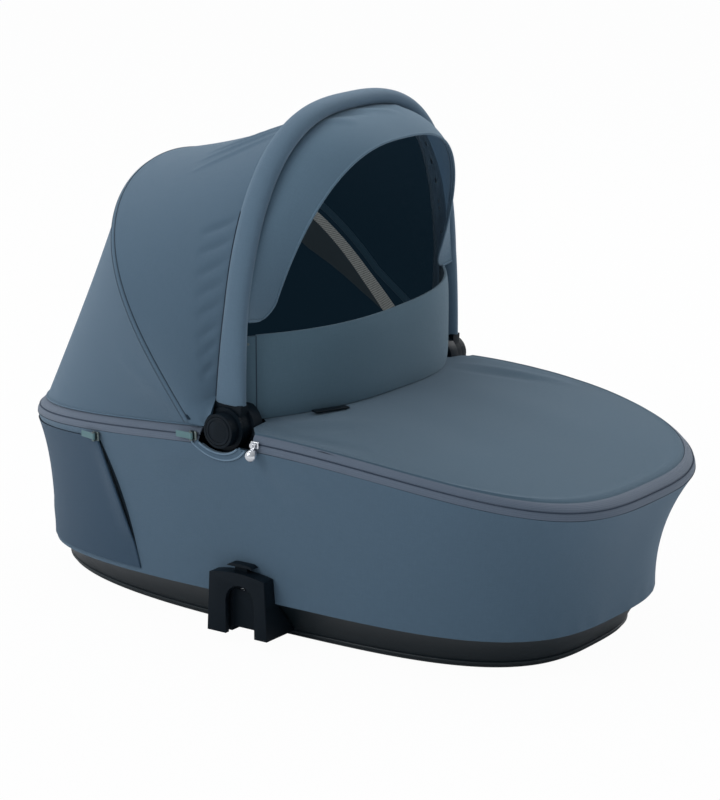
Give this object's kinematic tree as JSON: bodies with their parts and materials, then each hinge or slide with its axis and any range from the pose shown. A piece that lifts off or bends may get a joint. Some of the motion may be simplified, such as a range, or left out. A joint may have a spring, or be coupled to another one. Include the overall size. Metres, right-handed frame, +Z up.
{
  "type": "carrycot",
  "caption": "Baby carrycot: fabric-covered tub on a moulded tray, zipped foot cover with wind flap, folding hood on a carry handle, chassis adapters at the sides.",
  "frame": {"origin": "centre of the base, on the plane that the cot's four pads stand on", "axes": "+X to the foot end, +Z up, -Y is the side with the pocket's zip pull"},
  "size_m": [0.788, 0.4732, 0.5735],
  "materials": {
    "shell_fabric": "woven melange",
    "pocket_fabric": "smooth weave",
    "zip_tape": "ribbed tape",
    "lining": "soft jersey",
    "mattress": "soft jersey",
    "black_plastic": "fine grain",
    "tray_plastic": "fine grain",
    "metal": "satin",
    "silver": "polished",
    "rubber": "matte",
    "pull_tape": "woven tape",
    "mesh_net": "open net"
  },
  "bodies": {
    "root": {"body_cover": "shell_fabric", "apron": "shell_fabric", "hood_rear_panel": "shell_fabric", "head_pocket": "pocket_fabric", "inner_liner": "lining", "mattress": "mattress", "base_tray": "tray_plastic", "flap_tab": "black_plastic", "pocket_slider": "silver", "foot_zip_upper": "zip_tape", "foot_zip_lower": "zip_tape", "head_zip_upper": "zip_tape", "head_zip_lower": "zip_tape", "pad_head_near": "rubber", "pad_head_far": "rubber", "pad_foot_near": "rubber", "pad_foot_far": "rubber", "rim_tube_foot": "metal", "rim_tube_head": "metal", "hub_base_near": "black_plastic", "adapter_near": "black_plastic", "side_post_near": "metal", "hub_pin_near": "metal", "latch_spring_near": "metal", "apron_slider_near": "silver", "hood_slider_near": "silver", "hub_base_far": "black_plastic", "adapter_far": "black_plastic", "side_post_far": "metal", "hub_pin_far": "metal", "latch_spring_far": "metal", "apron_slider_far": "silver", "hood_slider_far": "silver"},
    "rear_bow": {"rear_bow": "metal", "vent_net": "mesh_net"},
    "handle": {"handle_tube": "metal", "handle_sleeve": "shell_fabric", "handle_leg_near": "black_plastic", "handle_leg_far": "black_plastic", "button_spring_near": "metal", "button_spring_far": "metal", "hood_mid_panel": "shell_fabric"},
    "visor": {"visor": "shell_fabric", "visor_piping": "shell_fabric"},
    "wind_flap": {"wind_flap": "shell_fabric"},
    "hub_button_near": {"hub_button_near": "black_plastic"},
    "hub_button_far": {"hub_button_far": "black_plastic"},
    "latch_near": {"latch_near": "black_plastic"},
    "latch_far": {"latch_far": "black_plastic"},
    "apron_pull_near": {"apron_pull_near": "silver"},
    "apron_pull_far": {"apron_pull_far": "silver"},
    "hood_tab_near": {"hood_tab_near": "pull_tape"},
    "hood_tab_far": {"hood_tab_far": "pull_tape"},
    "pocket_tab": {"pocket_tab": "pull_tape"}
  },
  "joints": [
    {"name": "rear_bow_fold", "type": "hinge", "parent": "root", "child": "rear_bow", "pos_m": [-0.006, 0, 0.24], "axis": [0, -1, 0], "range_deg": [0, 40], "deforming": ["hood_rear_panel"]},
    {"name": "handle_fold", "type": "hinge", "parent": "rear_bow", "child": "handle", "pos_m": [-0.006, 0, 0.24], "axis": [0, -1, 0], "range_deg": [0, 27], "deforming": ["hood_mid_panel"]},
    {"name": "visor_fold", "type": "hinge", "parent": "handle", "child": "visor", "pos_m": [0.0105, 0, 0.3454], "axis": [0, -1, 0], "range_deg": [0, 50], "deforming": ["visor"]},
    {"name": "wind_flap_fold", "type": "hinge", "parent": "root", "child": "wind_flap", "pos_m": [0.075, 0, 0.2519], "axis": [0, 1, 0], "range_deg": [0, 60]},
    {"name": "hub_button_near_press", "type": "slide", "parent": "handle", "child": "hub_button_near", "axis": [0, 1, 0], "range_m": [0, 0.0035], "stiffness_N_per_m": 500, "springref_m": -0.004, "deforming": ["button_spring_near"]},
    {"name": "latch_near_press", "type": "slide", "parent": "root", "child": "latch_near", "axis": [0, 0, -1], "range_m": [0, 0.005], "stiffness_N_per_m": 500, "springref_m": -0.004, "deforming": ["latch_spring_near"]},
    {"name": "apron_pull_near_swing", "type": "hinge", "parent": "root", "child": "apron_pull_near", "pos_m": [0.041, -0.227, 0.2319], "axis": [0, 1, 0], "range_deg": [-40, 40]},
    {"name": "hood_tab_near_lift", "type": "hinge", "parent": "root", "child": "hood_tab_near", "pos_m": [-0.042, -0.225, 0.2294], "axis": [0, 0, 1], "range_deg": [0, 70]},
    {"name": "hub_button_far_press", "type": "slide", "parent": "handle", "child": "hub_button_far", "axis": [0, -1, 0], "range_m": [0, 0.0035], "stiffness_N_per_m": 500, "springref_m": -0.004, "deforming": ["button_spring_far"]},
    {"name": "latch_far_press", "type": "slide", "parent": "root", "child": "latch_far", "axis": [0, 0, -1], "range_m": [0, 0.005], "stiffness_N_per_m": 500, "springref_m": -0.004, "deforming": ["latch_spring_far"]},
    {"name": "apron_pull_far_swing", "type": "hinge", "parent": "root", "child": "apron_pull_far", "pos_m": [0.041, 0.227, 0.2319], "axis": [0, 1, 0], "range_deg": [-40, 40]},
    {"name": "hood_tab_far_lift", "type": "hinge", "parent": "root", "child": "hood_tab_far", "pos_m": [-0.042, 0.225, 0.2294], "axis": [0, 0, -1], "range_deg": [0, 70]},
    {"name": "pocket_tab_lift", "type": "hinge", "parent": "root", "child": "pocket_tab", "pos_m": [-0.1918, -0.2082, 0.2018], "axis": [0, 0, 1], "range_deg": [0, 70]}
  ],
  "couplings": [
    {"joint": "rear_bow_fold", "follows": "handle_fold", "ratio": 1.48}
  ]
}
